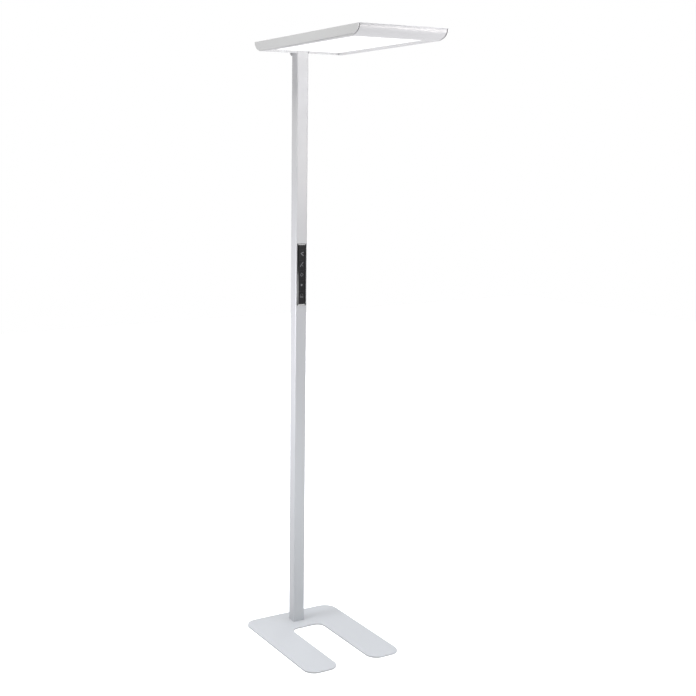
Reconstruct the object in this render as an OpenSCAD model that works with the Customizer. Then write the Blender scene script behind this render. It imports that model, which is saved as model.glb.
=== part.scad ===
// Office floor lamp: a U-shaped steel base, a rectangular aluminium pole with a keypad
// in its front face, and a flat edge-lit head that reaches forward over a desk.
// Millimetres. +Z is up and the legs and the head point along -Y. The origin lies on
// the floor, under the middle of the lamp's outer box.

/* [Overall] */
// Height from the floor to the top of the head
lamp_h = 1950; // [1700:10:2200]

/* [Base] */
// Width of the base plate
base_w = 350; // [330:5:420]
// Length of the base plate, from its rear edge to the tips of its legs
base_l = 450; // [380:5:560]
// Thickness of the base plate
base_t = 5; // [4:0.5:10]
// Length of the bar that joins the two legs
crossbar_l = 130; // [120:1:170]
// Width of one leg
leg_w = 116; // [95:1:130]
// Radius of the two rear corners
rear_r = 45; // [20:1:50]
// Radius of the corners at the tips of the legs
tip_r = 38; // [15:1:42]
// Radius of the two inner corners of the slot
slot_r = 28; // [10:1:40]
// Thickness of the self-adhesive pads under the plate
pad_t = 1.5; // [1:0.25:3]
// Diameter of the pads
pad_d = 20; // [14:1:28]
// Distance from the plate's edges to the middle of a pad
pad_inset = 32; // [24:1:40]

/* [Pole] */
// Width of the pole, side to side
pole_w = 42; // [42:0.5:50]
// Depth of the pole, front to back
pole_d = 36; // [35:0.5:44]
// Wall of the pole
pole_wall = 2; // [1.5:0.25:2.5]
// Radius of the pole's long edges
pole_r = 4; // [3:0.25:4]
// Distance from the base's rear edge to the pole's rear face
pole_setback = 47; // [40:1:60]
// Height of the solid plug in each end of the pole
plug_h = 45; // [35:1:60]
// Play round a plug inside the pole
plug_play = 0.2; // [0.1:0.05:0.3]

/* [Head] */
// Width of the head, side to side
head_w = 300; // [260:5:340]
// Length of the head, back to front
head_l = 600; // [500:10:700]
// Thickness of the head
head_h = 31; // [31:0.5:40]
// Depth of the rounded nose at the front and the back of the head
nose_l = 46; // [44:1:56]
// Width of the lip under each side of the head, from its outer face
lip_w = 16; // [15:0.5:24]
// Depth of the recess from the lip up to the diffuser
recess = 7; // [4:0.5:9]
// Thickness of the flat end plates on the sides
plate_t = 2; // [2:0.25:4]
// Width of the dark joint between an end plate and a rail
seam_w = 2.5; // [1:0.25:3]
// How far the joint's filler lies below the surface
seam_sunk = 1.2; // [0.6:0.1:2]
// Wall of the rails
rail_wall = 2; // [1.5:0.25:2.5]
// Thickness of the top cover
cover_t = 1.5; // [1:0.25:2]
// Depth of the joint's filler
seam_depth = 3.5; // [2:0.25:4]
// Setback of the top cover from the outer face of the rails
cover_inset = 0.8; // [0.4:0.1:2]
// Width of the flange that the top cover is screwed to
flange_w = 14; // [12:0.5:18]

/* [Light engine] */
// Thickness of the opal diffuser
diffuser_t = 3; // [2:0.25:3.5]
// Thickness of the clear light guide
guide_t = 4; // [3:0.25:4.5]
// Thickness of the white reflector sheet
sheet_t = 0.5; // [0.3:0.1:0.8]
// Thickness of the backing plate
backing_t = 1.5; // [1:0.25:2]
// Thickness of an LED strip's circuit board
strip_t = 1; // [0.8:0.1:1.6]
// Spacing of the LEDs along a strip
led_pitch = 21; // [18:1:40]
// Length of the driver
driver_l = 190; // [150:5:230]
// Width of the driver
driver_w = 42; // [36:1:60]
// Height of the driver
driver_h = 11; // [9:0.5:11.5]

/* [Control panel] */
// Height of the middle of the panel above the floor
panel_z = 1212; // [900:2:1400]
// How far the panel's frame stands proud of the pole
panel_proud = 1.6; // [1.2:0.1:3]
// Width of the bevel round the frame
panel_bevel = 5.7; // [4:0.1:5.7]
// Distance from the last key to the end of the frame
panel_end = 21.5; // [18:0.5:24]
// Distance from one key to the next
key_pitch = 34; // [32:0.5:36]
// Width of a key
key_w = 21.4; // [18:0.2:21.4]
// Height of a key
key_h = 27; // [22:0.2:28]
// Travel of a key
key_travel = 0.6; // [0.3:0.1:1]
// Play between a key and its window
key_play = 0.3; // [0.2:0.05:0.4]

/* [Power inlet] */
// Height of the middle of the inlet above the floor
inlet_z = 95; // [80:1:140]
// Width of the inlet's socket
socket_w = 24.4; // [24:0.1:24.8]
// Height of the inlet's socket
socket_h = 16.4; // [16:0.1:16.8]
// Depth of the inlet's socket
socket_d = 17; // [15:0.5:18]

/* [Hidden] */
$fn = 48;
tiny = 0.01;
fit = 0.05;          // radial play of a screw's shank in its hole
leaf = 0.3;          // gap between pieces that move past each other

// Where the pieces stand, front to back, with 0 on the base's rear edge
pole_front_0 = -pole_setback - pole_d;
head_rear_0 = pole_front_0 + nose_l;
head_front_0 = head_rear_0 - head_l;
// The middle of the outer box becomes the origin
mid_0 = (max(0, head_rear_0) + min(-base_l, head_front_0)) / 2;
base_rear = -mid_0;
pole_rear = base_rear - pole_setback;
pole_front = pole_rear - pole_d;
head_rear = head_rear_0 - mid_0;
head_front = head_rear - head_l;

// Heights
plate_z = pad_t;
base_top = plate_z + base_t;
rail_top = lamp_h - cover_t;
head_bottom = lamp_h - head_h;
seat_z = head_bottom + recess;       // the diffuser lies on this level
pole_top = seat_z;
guide_z = seat_z + diffuser_t;
sheet_z = guide_z + guide_t;
backing_z = sheet_z + sheet_t;
deck_z = backing_z + backing_t;      // the driver stands on this level

// The lit opening in the underside
open_x = head_w / 2 - lip_w;
open_front = head_front + nose_l;
open_rear = head_rear - nose_l;
edge_grip = rail_wall - 0.2;         // how far the diffuser lies on its seat
stack_x = open_x + rail_wall;        // half width of the diffuser and the light guide
stack_front = open_front - edge_grip;
stack_rear = open_rear + edge_grip;
led_gap = 0.6;                       // from the light guide's edge to the LED board
led_web_x = stack_x + led_gap + strip_t;

// The plate and its screws that hold the head on the pole
bracket_t = 3;
bracket_w = 120;
bracket_front = open_rear + edge_grip + 0.4;
bracket_d = 21;
bracket_screw_x = [34, 50];
bolt_x = 13;
bolt_r = 2.5;
bolt_head_r = 4.4;
bolt_head_h = 3.5;
bolt_l = 22;
spine_y = bracket_front + bracket_d / 2;      // line of the bolts and the leads
mains_r = 3;
mains_x = -4;
control_r = 2;
control_x = 4.5;
lead_play = 0.5;

// Driver and terminal block
driver_rear = open_rear - 50;
ear_l = 10;
ear_t = 1.5;
term_rear = open_rear - 12;
block_depth = 14;                    // of the terminal block
strip_gap = 0.5;                     // over and under an LED strip's board

// Keypad
key_count = 5;
window_w = key_w + 2 * key_play;
window_h = key_h + 2 * key_play;
panel_flat = 0.3;                    // flat rim between a window and the bevel
panel_w = window_w + 2 * (panel_flat + panel_bevel);
panel_h = (key_count - 1) * key_pitch + key_h + 2 * panel_end;
panel_edge = 0.4;                    // thickness of the frame at its outer edge
cut_w = panel_w - 3;
cut_h = panel_h - 8;
tray_gap = 0.2;
tray_wall = 1.5;
tray_w = cut_w - 2 * tray_gap;
tray_h = cut_h - 2 * tray_gap;
key_sunk = 0.1;                      // key face below the frame's face
flange_lip = 0.8;                    // how far a key's flange reaches past its cap
flange_t = 0.9;
stem_r = 2.5;
stem_l = 1.9;
key_back = leaf + flange_t + stem_l; // from the pole's face to the end of a stem
plunger_t = 0.9;
plunger_r = 1.7;
switch_w = 6.2;
switch_t = 3.5;
board_t = 1.6;
board_w = 22;
plunger_y = pole_front + key_back + key_travel + 0.2;
switch_y = plunger_y + plunger_t;
board_y = switch_y + switch_t;
tray_floor_y = board_y + board_t;
boss_z = panel_h / 2 - 10.5;
boss_r = 3;
panel_screw_r = 1.25;

// Collar behind the top of the pole
collar_side = 2;                     // how much wider than the pole, each side
collar_back = 10.5;
collar_drop = 6;

// Power inlet
inlet_wall = 1.4;
inlet_flange = 2.5;
inlet_rim = 1.6;
inlet_floor = 6;
pin_l = 13;
pin_w = 2;
pin_h = 4;
pin_x = 7;
pin_up = 4;
inlet_back = pole_rear + inlet_flange - socket_d - inlet_floor;

// Screws
rear_screw_r = 2;
rear_screw_head_r = 3.6;
rear_screw_head_h = 2;
rear_screw_l = 12;
plug_screw_gap = 12;
foot_screw_z = base_top + 24;
top_screw_z = head_bottom - collar_drop - rear_screw_head_r - 1.5;
foot_bolt_r = 3;
foot_bolt_head_r = 6;
foot_bolt_head_h = 3.2;
foot_bolt_l = 26;
foot_bolt_x = 10;
foot_bolt_y = 7.5;
small_r = 1.5;
small_head_r = 2.8;
small_head_h = 1;
cover_screws_x = [-120, -40, 40, 120];
cover_screw_u = 8;
block_l = 16;
block_h = 8;

paint = [0.80, 0.81, 0.83];
steel = [0.62, 0.63, 0.65];
alu = [0.72, 0.73, 0.75];
black = [0.08, 0.08, 0.09];

// ---------------------------------------------------------------- shared shapes

// A box from its two corners
module block(low, high) translate(low) cube(high - low);

// A rectangle with true round corners, centred on the origin
module round_rect(w, h, r) {
    square([w - 2 * r, h], center = true);
    square([w, h - 2 * r], center = true);
    for (x = [-1, 1], y = [-1, 1]) translate([x * (w / 2 - r), y * (h / 2 - r)]) circle(r);
}

// The outline of the children, drawn in (y, z), stretched from x0 to x1
module along_x(x0, x1) translate([x0, 0, 0]) rotate([90, 0, 90]) linear_extrude(x1 - x0) children();

// The outline of the children, drawn in (x, z), stretched from y0 to y1
module along_y(y0, y1) translate([0, y1, 0]) rotate([90, 0, 0]) linear_extrude(y1 - y0) children();

// A screw that stands on its head's underside at the origin, with its shank along -Z
module screw(shank_r, len, head_r, head_h) {
    translate([0, 0, -len]) cylinder(r = shank_r, h = len);
    difference() {
        cylinder(r = head_r, h = head_h);
        translate([0, 0, head_h * 0.4]) cylinder(r = shank_r * 0.75, h = head_h, $fn = 6);
    }
}

// The same screw, turned so that its shank runs along +Y into the pole's wall
module screw_into_front(shank_r, len, head_r, head_h) rotate([90, 0, 0])
    screw(shank_r, len, head_r, head_h);

// A round cable through the points, in one closed skin of eight sides. Its rings are lined
// up on a direction that no stretch of any lead runs along
lead_datum = [3, 2, 1];
function unit(v) = v / norm(v);
function heading(p, i) = unit(p[min(i + 1, len(p) - 1)] - p[max(i - 1, 0)]);
function ring(c, t, r, sides) =
    let (n = unit(cross(t, lead_datum)), b = cross(n, t))
    [for (k = [0:sides - 1]) c + r * (cos(360 * k / sides) * b + sin(360 * k / sides) * n)];
module cable(p, r, sides = 8) {
    last = len(p) - 1;
    polyhedron(
        points = [for (i = [0:last]) each ring(p[i], heading(p, i), r, sides)],
        faces = concat(
            [[for (k = [0:sides - 1]) k]],
            [for (i = [0:last - 1], k = [0:sides - 1])
                [i * sides + k, (i + 1) * sides + k,
                 (i + 1) * sides + (k + 1) % sides, i * sides + (k + 1) % sides]],
            [[for (k = [sides - 1:-1:0]) last * sides + k]]
        ));
}

// ---------------------------------------------------------------- base

// One quarter of a square's corner that lies outside its round edge
module corner_waste(r) difference() {
    translate([-tiny, -tiny]) square(r + tiny);
    translate([r, r]) circle(r, $fn = 96);
}

module slot_outline(slot_w, slot_l) difference() {
    translate([-slot_w / 2, -base_l - 1]) square([slot_w, slot_l + 1]);
    for (s = [0, 1]) mirror([s, 0]) translate([-slot_w / 2, -crossbar_l])
        mirror([0, 1]) corner_waste(slot_r);
}

module base_outline() difference() {
    translate([-base_w / 2, -base_l]) square([base_w, base_l]);
    slot_outline(base_w - 2 * leg_w, base_l - crossbar_l);
    for (s = [0, 1]) mirror([s, 0]) {
        translate([-base_w / 2, 0]) mirror([0, 1]) corner_waste(rear_r);
        translate([-base_w / 2, -base_l]) corner_waste(tip_r);
        translate([-base_w / 2 + leg_w, -base_l]) mirror([1, 0]) corner_waste(tip_r);
    }
}

module foot_bolt_places() translate([0, pole_rear - pole_d / 2, plate_z])
    for (x = [-foot_bolt_x, foot_bolt_x], y = [-foot_bolt_y, foot_bolt_y]) translate([x, y, 0]) children();

module base_plate() color(paint) difference() {
    translate([0, base_rear, plate_z]) linear_extrude(base_t) base_outline();
    foot_bolt_places() {
        translate([0, 0, -1]) cylinder(r = foot_bolt_r + fit, h = base_t + 2);
        translate([0, 0, -tiny]) cylinder(
            r1 = foot_bolt_head_r + fit + tiny, r2 = foot_bolt_r + fit, h = foot_bolt_head_h + tiny);
    }
}

module base_pads() color(black)
    for (x = [-1, 1], y = [pad_inset, base_l / 2, base_l - pad_inset])
        translate([x * (base_w / 2 - pad_inset), base_rear - y, 0]) cylinder(d = pad_d, h = pad_t);

module base_bolts() color(steel) foot_bolt_places() difference() {
    union() {
        cylinder(r1 = foot_bolt_head_r, r2 = foot_bolt_r, h = foot_bolt_head_h);
        cylinder(r = foot_bolt_r, h = foot_bolt_l);
    }
    translate([0, 0, -tiny]) cylinder(r = foot_bolt_r * 0.65, h = foot_bolt_head_h * 0.8, $fn = 6);
}

// ---------------------------------------------------------------- pole

module plug_outline() translate([0, pole_rear - pole_d / 2]) round_rect(
    pole_w - 2 * (pole_wall + plug_play), pole_d - 2 * (pole_wall + plug_play), pole_r - pole_wall + 0.3);

// Where the two screws of a plug go in, with the upper one at height z
module plug_screw_places(z) for (dz = [-plug_screw_gap, 0])
    translate([0, pole_rear, z + dz]) mirror([0, 1, 0]) children();

module plug_screws(z) color(steel) plug_screw_places(z)
    screw_into_front(rear_screw_r, rear_screw_l, rear_screw_head_r, rear_screw_head_h);

module plug_screw_holes(z) plug_screw_places(z)
    translate([0, -1, 0]) rotate([-90, 0, 0]) cylinder(r = rear_screw_r + fit, h = rear_screw_l + 1.5);

module foot_plug() color(alu) difference() {
    translate([0, 0, base_top]) linear_extrude(plug_h) plug_outline();
    foot_bolt_places() cylinder(r = foot_bolt_r + fit, h = foot_bolt_l + 0.5);
    plug_screw_holes(foot_screw_z);
}

module foot_plug_screws() plug_screws(foot_screw_z);

module pole_outline() translate([0, pole_rear - pole_d / 2]) difference() {
    round_rect(pole_w, pole_d, pole_r);
    round_rect(pole_w - 2 * pole_wall, pole_d - 2 * pole_wall, pole_r - pole_wall);
}

module pole() color(paint) difference() {
    translate([0, 0, base_top]) linear_extrude(pole_top - base_top) pole_outline();
    block([-cut_w / 2, pole_front - 1, panel_z - cut_h / 2],
          [cut_w / 2, pole_front + pole_wall + 1, panel_z + cut_h / 2]);
    block([-inlet_w / 2 - 0.2, pole_rear - pole_wall - 1, inlet_z - inlet_h / 2 - 0.2],
          [inlet_w / 2 + 0.2, pole_rear + 1, inlet_z + inlet_h / 2 + 0.2]);
    plug_screw_holes(foot_screw_z);
    plug_screw_holes(top_screw_z);
}

module top_plug() color(alu) difference() {
    translate([0, 0, pole_top - plug_h]) linear_extrude(plug_h) plug_outline();
    for (x = [-bolt_x, bolt_x]) translate([x, spine_y, pole_top - bolt_l])
        cylinder(r = bolt_r + fit, h = bolt_l + 1);
    translate([mains_x, spine_y, pole_top - plug_h - 1]) cylinder(r = mains_r + lead_play, h = plug_h + 2);
    translate([control_x, spine_y, pole_top - plug_h - 1])
        cylinder(r = control_r + lead_play, h = plug_h + 2);
    plug_screw_holes(top_screw_z);
}

module top_plug_screws() plug_screws(top_screw_z);

// ---------------------------------------------------------------- power inlet

inlet_w = socket_w + 2 * inlet_wall;
inlet_h = socket_h + 2 * inlet_wall;
socket_floor = pole_rear + inlet_flange - socket_d;
socket_cut = 6;                      // size of its two cut corners

// The socket's mouth, with the two upper corners cut off
module socket_outline() difference() {
    square([socket_w, socket_h], center = true);
    for (s = [0, 1]) mirror([s, 0]) translate([socket_w / 2, socket_h / 2])
        rotate(45) square([socket_cut, 2 * socket_cut], center = true);
}

module power_inlet() color(black) difference() {
    union() {
        block([-inlet_w / 2, inlet_back, inlet_z - inlet_h / 2],
              [inlet_w / 2, pole_rear, inlet_z + inlet_h / 2]);
        block([-inlet_w / 2 - inlet_rim, pole_rear, inlet_z - inlet_h / 2 - inlet_rim],
              [inlet_w / 2 + inlet_rim, pole_rear + inlet_flange, inlet_z + inlet_h / 2 + inlet_rim]);
    }
    along_y(socket_floor, pole_rear + inlet_flange + 1) translate([0, inlet_z]) socket_outline();
}

module inlet_pins() color(steel)
    for (p = [[-pin_x, 0], [0, pin_up], [pin_x, 0]])
        translate([p[0] - pin_w / 2, socket_floor, inlet_z + p[1] - pin_h / 2]) cube([pin_w, pin_l, pin_h]);

// ---------------------------------------------------------------- leads inside the pole

mains_back = pole_rear - pole_wall - mains_r - 5;
plug_foot = pole_top - plug_h;
lead_v = (deck_z + rail_top) / 2;

mains_route = [
    [0, inlet_back, inlet_z], [0, inlet_back - 3, inlet_z], [0, inlet_back - 5, inlet_z + 3],
    [0, inlet_back - 5, inlet_z + 8], [-1, inlet_back - 2, inlet_z + 25],
    [-2, inlet_back + 4, inlet_z + 45], [-3, mains_back, inlet_z + 80], [mains_x, mains_back, inlet_z + 140],
    [mains_x, mains_back, plug_foot - 160], [mains_x, mains_back - 2, plug_foot - 120],
    [mains_x, spine_y + 2, plug_foot - 60], [mains_x, spine_y, plug_foot - 20],
    [mains_x, spine_y, pole_top + bracket_t], [mains_x, spine_y - 1, lead_v - 5],
    [mains_x, spine_y - 3.5, lead_v - 1.5], [mains_x, spine_y - 7, lead_v],
    [mains_x, term_rear, lead_v]];
module mains_lead() color(black) cable(mains_route, mains_r);

control_out_z = panel_z + 55;
control_y = tray_floor_y + tray_wall;
control_route = [
    [control_x, control_y, control_out_z], [control_x, control_y + 2, control_out_z],
    [control_x, control_y + 4, control_out_z + 3], [control_x, control_y + 4, control_out_z + 8],
    [control_x, control_y + 4, control_out_z + 60], [control_x, spine_y, control_out_z + 130],
    [control_x, spine_y, pole_top + bracket_t], [control_x, spine_y - 1, lead_v - 5],
    [control_x, spine_y - 3.5, lead_v - 1.5], [control_x, spine_y - 7, lead_v],
    [control_x, term_rear, lead_v]];
module control_lead() color(black) cable(control_route, control_r);

// The twin leads from the driver's front end to the two LED strips
strip_lead_r = 0.7;
strip_lead_x = (stack_x + led_web_x) / 2;
strip_lead_y = driver_rear - driver_l;
strip_run_y = strip_lead_y - 14;     // where they cross to the sides
strip_route = [
    [12, strip_lead_y, deck_z + 4], [12, strip_lead_y - 4, deck_z + 4],
    [14, strip_lead_y - 9, deck_z + 2.5], [22, strip_run_y + 1, deck_z + 1.2],
    [40, strip_run_y, deck_z + 1], [110, strip_run_y, deck_z + 1],
    [strip_lead_x - 5, strip_run_y, deck_z + 1.2], [strip_lead_x - 1.5, strip_run_y, deck_z + 1],
    [strip_lead_x, strip_run_y, deck_z - 1], [strip_lead_x, strip_run_y, backing_z - strip_gap]];
module strip_leads() color("white") for (s = [0, 1]) mirror([s, 0, 0]) cable(strip_route, strip_lead_r);

// The short wires from the terminal block to the driver
module driver_wires() color("white") for (x = [-9, -3, 3, 9])
    translate([x, term_rear - block_depth, deck_z + 6]) rotate([90, 0, 0])
        cylinder(r = 1, h = term_rear - block_depth - driver_rear);

// ---------------------------------------------------------------- control panel

module at_keys() for (i = [0:key_count - 1])
    translate([0, 0, panel_z + ((key_count - 1) / 2 - i) * key_pitch]) children();

module panel_frame() color(black) {
    difference() {
        intersection() {
            translate([0, 0, panel_z - panel_h / 2]) linear_extrude(panel_h) polygon([
                [-panel_w / 2, pole_front], [-panel_w / 2, pole_front - panel_edge],
                [-panel_w / 2 + panel_bevel, pole_front - panel_proud],
                [panel_w / 2 - panel_bevel, pole_front - panel_proud],
                [panel_w / 2, pole_front - panel_edge], [panel_w / 2, pole_front]]);
            along_x(-panel_w / 2, panel_w / 2) translate([0, panel_z]) polygon([
                [pole_front, -panel_h / 2], [pole_front, panel_h / 2],
                [pole_front - panel_edge, panel_h / 2],
                [pole_front - panel_proud, panel_h / 2 - panel_bevel],
                [pole_front - panel_proud, -panel_h / 2 + panel_bevel],
                [pole_front - panel_edge, -panel_h / 2]]);
        }
        at_keys() block([-window_w / 2, pole_front - panel_proud - 1, -window_h / 2],
                        [window_w / 2, pole_front + 1, window_h / 2]);
    }
    for (s = [-1, 1]) translate([0, pole_front, panel_z + s * boss_z]) rotate([-90, 0, 0]) difference() {
        cylinder(r = boss_r, h = tray_floor_y - pole_front);
        translate([0, 0, 2]) cylinder(r = panel_screw_r + fit, h = tray_floor_y);
    }
}

// One key: its cap, the flange that keeps it in, and the stem that works its switch
module key(i) color([0.16, 0.16, 0.17])
    translate([0, pole_front, panel_z + ((key_count - 1) / 2 - i) * key_pitch]) {
        block([-key_w / 2, key_sunk - panel_proud, -key_h / 2], [key_w / 2, leaf, key_h / 2]);
        block([-key_w / 2 - flange_lip, leaf, -key_h / 2 - flange_lip],
              [key_w / 2 + flange_lip, leaf + flange_t, key_h / 2 + flange_lip]);
        translate([0, leaf + flange_t, 0]) rotate([-90, 0, 0]) cylinder(r = stem_r, h = stem_l);
    }

module panel_tray() color([0.2, 0.2, 0.21]) difference() {
    block([-tray_w / 2, pole_front, panel_z - tray_h / 2],
          [tray_w / 2, tray_floor_y + tray_wall, panel_z + tray_h / 2]);
    block([-tray_w / 2 + tray_wall, pole_front - 1, panel_z - tray_h / 2 + tray_wall],
          [tray_w / 2 - tray_wall, tray_floor_y, panel_z + tray_h / 2 - tray_wall]);
    for (s = [-1, 1]) translate([0, tray_floor_y - 1, panel_z + s * boss_z]) rotate([-90, 0, 0])
        cylinder(r = panel_screw_r + fit, h = tray_wall + 2);
}

module panel_screws() color(steel)
    for (s = [-1, 1]) translate([0, tray_floor_y + tray_wall, panel_z + s * boss_z]) mirror([0, 1, 0])
        screw_into_front(panel_screw_r, 6.5, 2.3, 1.6);

// A sprung tongue at each end of the tray, which catches behind the pole's wall
clip_w = 10;
clip_reach = 3.2;
clip_l = 6;
clip_t = 1.2;
clip_foot = 0.4;
module panel_clips() color(steel) for (s = [0, 1]) translate([0, 0, panel_z]) mirror([0, 0, s]) {
    y = pole_front + pole_wall + tray_gap;
    along_x(-clip_w / 2, clip_w / 2) translate([y, tray_h / 2]) polygon([
        [0, 0], [0, clip_reach], [clip_t, clip_reach], [clip_l, clip_foot], [clip_l, 0]]);
}

module keypad_board() color([0.1, 0.35, 0.2])
    block([-board_w / 2, board_y, panel_z - boss_z + boss_r + 1],
          [board_w / 2, board_y + board_t, panel_z + boss_z - boss_r - 1]);

module key_switches() color(black) at_keys() {
    block([-switch_w / 2, switch_y, -switch_w / 2], [switch_w / 2, board_y, switch_w / 2]);
    translate([0, plunger_y, 0]) rotate([-90, 0, 0]) cylinder(r = plunger_r, h = plunger_t);
}

// ---------------------------------------------------------------- head, fixings to the pole

module head_bracket() color(steel) difference() {
    block([-bracket_w / 2, bracket_front, pole_top],
          [bracket_w / 2, bracket_front + bracket_d, pole_top + bracket_t]);
    for (x = [-bolt_x, bolt_x]) translate([x, spine_y, pole_top - 1])
        cylinder(r = bolt_r + fit, h = bracket_t + 2);
    translate([mains_x, spine_y, pole_top - 1]) cylinder(r = mains_r + lead_play, h = bracket_t + 2);
    translate([control_x, spine_y, pole_top - 1]) cylinder(r = control_r + lead_play, h = bracket_t + 2);
    bracket_screw_places() translate([0, 0, -bracket_t - 1]) cylinder(r = small_r + fit, h = bracket_t + 2);
}

module head_bolts() color(steel) for (x = [-bolt_x, bolt_x])
    translate([x, spine_y, pole_top + bracket_t]) screw(bolt_r, bolt_l, bolt_head_r, bolt_head_h);

module bracket_screw_places() for (s = [-1, 1], x = bracket_screw_x)
    translate([s * x, spine_y, pole_top + bracket_t]) children();

module bracket_screws() color(steel) bracket_screw_places()
    screw(small_r, bracket_t + rail_wall, small_head_r, small_head_h + 0.6);

// The moulded collar behind the top of the pole, shaped to the round of the rail
module pole_collar() color(paint) difference() {
    x = pole_w / 2 + collar_side;
    along_x(-x, x) polygon([
        [pole_rear - pole_d / 3, pole_top], [pole_rear + 0.1, pole_top],
        [pole_rear + 0.1, head_bottom - collar_drop], [pole_rear + 2, head_bottom - collar_drop],
        [pole_rear + collar_back - 1.5, head_bottom], [pole_rear + collar_back, head_bottom + 6],
        [pole_rear + collar_back, lamp_h], [pole_rear - pole_d / 3, lamp_h]]);
    along_x(-x - 1, x + 1) back_place() nose_area(0);
}

// ---------------------------------------------------------------- head, frame

// A quarter of an ellipse, from the top outer edge down and in to the lip. inset shrinks it
nose_steps = 24;
function nose_arc(inset) = [for (i = [0:nose_steps]) let (a = 90 * i / nose_steps)
    [nose_l - (nose_l - inset) * cos(a), -(head_h - inset) * sin(a)]];
module nose_area(inset) polygon(concat([[nose_l, 0]], nose_arc(inset)));

module front_place() translate([head_front, lamp_h]) children();
module back_place() translate([head_rear, lamp_h]) mirror([1, 0]) children();

// Section of the front and the back rail: curved wall, top flange, seat and lip
module rail_section() {
    difference() {
        nose_area(0);
        nose_area(rail_wall);
        translate([-1, -cover_t]) square([nose_l + 2, cover_t + 1]);
    }
    intersection() {
        nose_area(0);
        union() {
            translate([0, -cover_t - rail_wall]) square([flange_w, rail_wall]);
            translate([nose_l / 3, recess - head_h - rail_wall]) square([nose_l, rail_wall]);
            translate([nose_l - rail_wall, -head_h]) square([rail_wall, recess]);
        }
    }
}

rail_end = head_w / 2 - plate_t - seam_w;
cover_screw_rows = [head_front + cover_screw_u, head_rear - cover_screw_u];

module cover_screw_holes(h) for (x = cover_screws_x, y = cover_screw_rows)
    translate([x, y, lamp_h - h]) cylinder(r = small_r + fit, h = h + 1);

module front_rail() color(paint) difference() {
    along_x(-rail_end, rail_end) front_place() rail_section();
    cover_screw_holes(cover_t + rail_wall + 1);
}

module back_rail() color(paint) difference() {
    along_x(-rail_end, rail_end) back_place() rail_section();
    cover_screw_holes(cover_t + rail_wall + 1);
    block([-pole_w / 2 - 0.1, pole_front - 0.2, head_bottom - 1],
          [pole_w / 2 + 0.1, pole_rear + 0.1, seat_z + tiny]);
    bracket_screw_places() translate([0, 0, -bracket_t - rail_wall - 1])
        cylinder(r = small_r + fit, h = bracket_t + rail_wall + 2);
}

// Outline of the whole head from the side
module side_outline() {
    front_arc = [for (p = nose_arc(0)) [head_front + p[0], lamp_h + p[1]]];
    back_arc = [for (i = [nose_steps:-1:0]) [head_rear - nose_arc(0)[i][0], lamp_h + nose_arc(0)[i][1]]];
    polygon(concat(front_arc, back_arc));
}

// Section of an end plate: its lower edge is rounded off on the outside
plate_edge_in = 1.3;
plate_edge_up = 7;
plate_edge_steps = 10;
module plate_section() {
    x = head_w / 2;
    polygon(concat([[x - plate_t - 1, head_bottom - 1], [x - plate_t - 1, lamp_h + 1], [x, lamp_h + 1]],
        [for (i = [0:plate_edge_steps]) let (a = 90 * i / plate_edge_steps)
            [x - plate_edge_in * (1 - cos(a)), head_bottom + plate_edge_up * (1 - sin(a))]],
        [[x - plate_edge_in, head_bottom - 1]]));
}

module end_plate(s) color(paint) difference() {
    x = head_w / 2;
    intersection() {
        along_x(min(s * x, s * (x - plate_t)), max(s * x, s * (x - plate_t))) side_outline();
        mirror([s < 0 ? 1 : 0, 0, 0]) along_y(head_front - 1, head_rear + 1) plate_section();
    }
    block_places() if (s == $side) translate([$side * (x - plate_t - 1), 0, 0]) rotate([0, $side * 90, 0])
        cylinder(r = small_r + fit, h = 1 + plate_t * 0.6);
}

module end_plate_left() end_plate(-1);
module end_plate_right() end_plate(1);

// Dark filler in the joint between each end plate and each rail
module seam_fillers() color(black) for (s = [-1, 1]) {
    x0 = s < 0 ? -head_w / 2 + plate_t : rail_end;
    along_x(x0, x0 + seam_w) {
        front_place() seam_section();
        back_place() seam_section();
    }
}
module seam_section() difference() {
    nose_area(seam_sunk);
    nose_area(seam_sunk + seam_depth);
    translate([-1, -cover_t]) square([nose_l + 2, cover_t + 1]);
}

// The long L-shaped rail inside each end plate: outer web, lip, diffuser seat and LED web
module side_rail(s) color(paint) along_y(open_front, open_rear) mirror([s < 0 ? 1 : 0, 0]) {
    x1 = head_w / 2 - plate_t;
    translate([x1 - rail_wall, head_bottom]) square([rail_wall, rail_top - head_bottom]);
    translate([open_x, head_bottom]) square([x1 - open_x, rail_wall]);
    translate([open_x, head_bottom]) square([rail_wall, recess]);
    translate([led_web_x, head_bottom]) square([rail_wall, backing_z - head_bottom]);
}
module side_rail_left() side_rail(-1);
module side_rail_right() side_rail(1);

// Blocks that fix the end plates: under the flange of each rail, at both ends. Each starts
// where the joint's filler has curved clear of the block's lower edge
block_d = 12;
filler_inset = seam_sunk + seam_depth;
block_low = (cover_t + rail_wall + block_h) / (head_h - filler_inset);
block_u = nose_l - (nose_l - filler_inset) * sqrt(1 - block_low * block_low) + leaf;
module block_places() for ($side = [-1, 1]) {
    translate([0, head_front + block_u + block_d / 2, block_mid]) children();
    translate([0, head_rear - block_u - block_d / 2, block_mid]) children();
}
block_top = rail_top - rail_wall;
block_mid = block_top - block_h / 2;

module corner_blocks() color(alu) block_places() difference() {
    x1 = head_w / 2 - plate_t;
    x0 = x1 - block_l;
    translate([$side > 0 ? x0 : -x1, -block_d / 2, -block_h / 2]) cube([block_l, block_d, block_h]);
    translate([$side * (x0 - 1), 0, 0]) rotate([0, $side * 90, 0])
        cylinder(r = small_r + fit, h = block_l + 2);
}

module end_plate_screws() color(steel) block_places()
    translate([$side * (head_w / 2 - plate_t - block_l), 0, 0]) rotate([0, $side * -90, 0])
        screw(small_r, block_l + plate_t * 0.5, small_head_r, small_head_h + 0.6);

// ---------------------------------------------------------------- head, light engine

module diffuser() color("white")
    block([-stack_x, stack_front, seat_z], [stack_x, stack_rear, guide_z]);

module light_guide() color([0.85, 0.93, 0.95])
    block([-stack_x, stack_front, guide_z], [stack_x, stack_rear, sheet_z]);

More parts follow.
